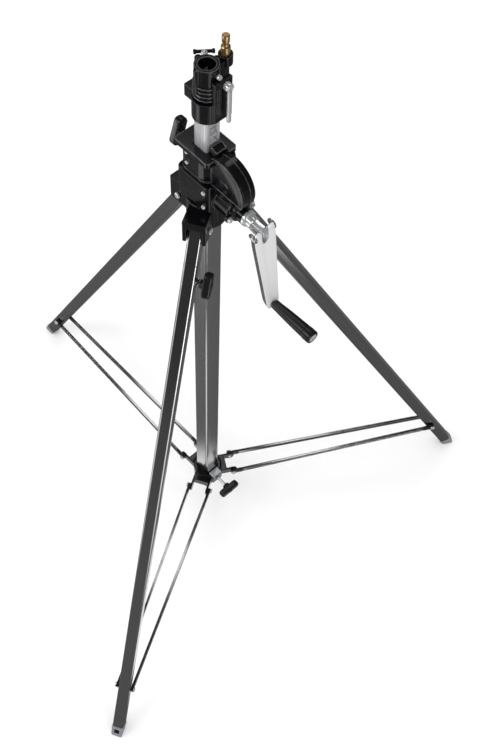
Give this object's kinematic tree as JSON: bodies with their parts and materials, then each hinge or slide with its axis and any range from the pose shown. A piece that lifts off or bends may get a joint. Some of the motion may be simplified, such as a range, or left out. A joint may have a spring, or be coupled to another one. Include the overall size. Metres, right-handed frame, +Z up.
{
  "type": "wind-up lighting stand",
  "caption": "Tall folding tripod lighting stand with a crank-driven rack riser, a hand-raised inner riser and a combined socket and stud head.",
  "frame": {"origin": "centre of the lower face of the column's bottom plug, on the column's axis, 50 mm above the floor the feet stand on", "axes": "+Z up along the column, +X along the crank shaft away from the winch, one leg along -X"},
  "size_m": [1.0868, 1.254, 1.584],
  "materials": {
    "column_grey": "satin grey chrome",
    "leg_chrome": "black chrome",
    "black_casting": "glossy black powder coat",
    "steel": "bright",
    "chrome": "polished",
    "brass": "turned",
    "black_plastic": "moulded",
    "grey_plastic": "moulded",
    "gear_steel": "ground",
    "bronze": "machined"
  },
  "bodies": {
    "base": {"column_tube": "column_grey", "column_plug": "black_plastic", "riser_bush": "grey_plastic", "leg_yoke": "black_casting", "leg_bolt_left": "steel", "leg_bolt_front": "steel", "leg_bolt_right": "steel", "winch_body": "black_casting", "gear_cover": "black_casting", "case_bolt_1": "steel", "case_bolt_2": "steel", "bearing_cap": "black_casting", "cap_bolt_1": "steel", "cap_bolt_2": "steel", "worm_bush": "bronze", "wheel_axle": "gear_steel"},
    "leg_left": {"leg_left": "leg_chrome", "foot_left": "grey_plastic"},
    "leg_right": {"leg_right": "leg_chrome", "foot_right": "grey_plastic"},
    "front_root": {"leg_front_sleeve": "leg_chrome", "leg_front_spigot": "steel"},
    "leg_front": {"leg_front": "leg_chrome", "foot_front": "grey_plastic"},
    "level_knob": {"level_knob": "black_plastic"},
    "spider": {"spider": "black_casting", "spider_pin_left": "steel", "spider_pin_front": "steel", "spider_pin_right": "steel"},
    "spider_knob": {"spider_knob": "black_plastic"},
    "brace_left": {"brace_left_a": "leg_chrome", "brace_left_b": "leg_chrome", "brace_bolt_left_a": "steel", "brace_bolt_left_b": "steel"},
    "brace_front": {"brace_front_a": "leg_chrome", "brace_front_b": "leg_chrome", "brace_bolt_front_a": "steel", "brace_bolt_front_b": "steel"},
    "brace_right": {"brace_right_a": "leg_chrome", "brace_right_b": "leg_chrome", "brace_bolt_right_a": "steel", "brace_bolt_right_b": "steel"},
    "crank": {"worm_shaft": "gear_steel", "crank_hub": "chrome", "crank_pin": "chrome"},
    "crank_arm": {"crank_arm": "chrome", "grip_bolt": "steel"},
    "grip": {"grip": "black_plastic"},
    "wheel": {"drive_wheel": "bronze"},
    "riser_1": {"riser_1": "steel", "rack": "steel", "riser_clamp": "black_casting"},
    "clamp_lever": {"clamp_lever": "chrome"},
    "riser_2": {"riser_2": "steel", "head_casting": "black_casting", "brass_stud": "brass", "head_bolt": "chrome"},
    "head_screw": {"head_screw": "steel", "head_tee_bar": "black_plastic"},
    "lock_knob": {"lock_knob": "black_plastic"}
  },
  "joints": [
    {"name": "leg_front_fold", "type": "hinge", "parent": "base", "child": "front_root", "pos_m": [0.0275, -0.04763, 1.15062], "axis": [0.866, 0.5, 0], "range_deg": [0, 25.25]},
    {"name": "leg_left_fold", "type": "hinge", "parent": "base", "child": "leg_left", "pos_m": [-0.055, 0, 1.15062], "axis": [0, -1, 0], "range_deg": [0, 25.3]},
    {"name": "leg_right_fold", "type": "hinge", "parent": "base", "child": "leg_right", "pos_m": [0.0275, 0.04763, 1.15062], "axis": [-0.866, 0.5, 0], "range_deg": [0, 25.3]},
    {"name": "leveling_slide", "type": "slide", "parent": "front_root", "child": "leg_front", "axis": [0.2366, -0.4098, -0.8809], "range_m": [0, 0.1]},
    {"name": "level_knob_turn", "type": "hinge", "parent": "leg_front", "child": "level_knob", "pos_m": [0.06568, -0.08515, 1.0546], "axis": [0.866, 0.5, 0], "range_deg": [0, 360]},
    {"name": "spider_slide", "type": "slide", "parent": "base", "child": "spider", "axis": [0, 0, 1], "range_m": [0, 0.438]},
    {"name": "spider_knob_turn", "type": "hinge", "parent": "spider", "child": "spider_knob", "pos_m": [0.0225, 0, 0.066], "axis": [1, 0, 0], "range_deg": [0, 360]},
    {"name": "brace_left_fold", "type": "hinge", "parent": "spider", "child": "brace_left", "pos_m": [-0.066, 0, 0.066], "axis": [0, -1, 0], "range_deg": [0, 87]},
    {"name": "brace_front_fold", "type": "hinge", "parent": "spider", "child": "brace_front", "pos_m": [0.033, -0.05716, 0.066], "axis": [0.866, 0.5, 0], "range_deg": [0, 87]},
    {"name": "brace_right_fold", "type": "hinge", "parent": "spider", "child": "brace_right", "pos_m": [0.033, 0.05716, 0.066], "axis": [-0.866, 0.5, 0], "range_deg": [0, 87]},
    {"name": "crank_turn", "type": "hinge", "parent": "base", "child": "crank", "pos_m": [0, 0, 1.2137], "axis": [1, 0, 0], "range_deg": [0, 18000]},
    {"name": "wheel_turn", "type": "hinge", "parent": "base", "child": "wheel", "pos_m": [0.0555, 0, 1.272], "axis": [0, 1, 0], "range_deg": [0, 1286]},
    {"name": "riser_1_slide", "type": "slide", "parent": "base", "child": "riser_1", "axis": [0, 0, 1], "range_m": [0, 0.943]},
    {"name": "crank_arm_fold", "type": "hinge", "parent": "crank", "child": "crank_arm", "pos_m": [0.147, 0, 1.2137], "axis": [0, -0.989, -0.1478], "range_deg": [0, 90]},
    {"name": "grip_spin", "type": "hinge", "parent": "crank_arm", "child": "grip", "pos_m": [0.2, 0.03695, 0.96644], "axis": [1, 0, 0], "continuous": true},
    {"name": "clamp_lever_turn", "type": "hinge", "parent": "riser_1", "child": "clamp_lever", "pos_m": [0.0313, 0.013, 1.466], "axis": [1, 0, 0], "range_deg": [0, 150]},
    {"name": "riser_2_slide", "type": "slide", "parent": "riser_1", "child": "riser_2", "axis": [0, 0, 1], "range_m": [0, 0.9]},
    {"name": "head_screw_turn", "type": "hinge", "parent": "riser_2", "child": "head_screw", "pos_m": [-0.02396, 0.01805, 1.472], "axis": [-0.7986, 0.6018, 0], "range_deg": [0, 360]},
    {"name": "lock_knob_turn", "type": "hinge", "parent": "base", "child": "lock_knob", "pos_m": [-0.0175, 0, 1.288], "axis": [-1, 0, 0], "range_deg": [0, 360]}
  ],
  "couplings": [
    {"joint": "leg_left_fold", "follows": "leg_front_fold", "ratio": 1},
    {"joint": "leg_right_fold", "follows": "leg_front_fold", "ratio": 1},
    {"joint": "spider_slide", "follows": "leg_front_fold", "m_per_rad": 0.99191},
    {"joint": "brace_left_fold", "follows": "leg_front_fold", "ratio": 3.4375},
    {"joint": "brace_front_fold", "follows": "leg_front_fold", "ratio": 3.4375},
    {"joint": "brace_right_fold", "follows": "leg_front_fold", "ratio": 3.4375},
    {"joint": "wheel_turn", "follows": "crank_turn", "ratio": 0.071429},
    {"joint": "riser_1_slide", "follows": "crank_turn", "m_per_rad": 0.0030001}
  ]
}
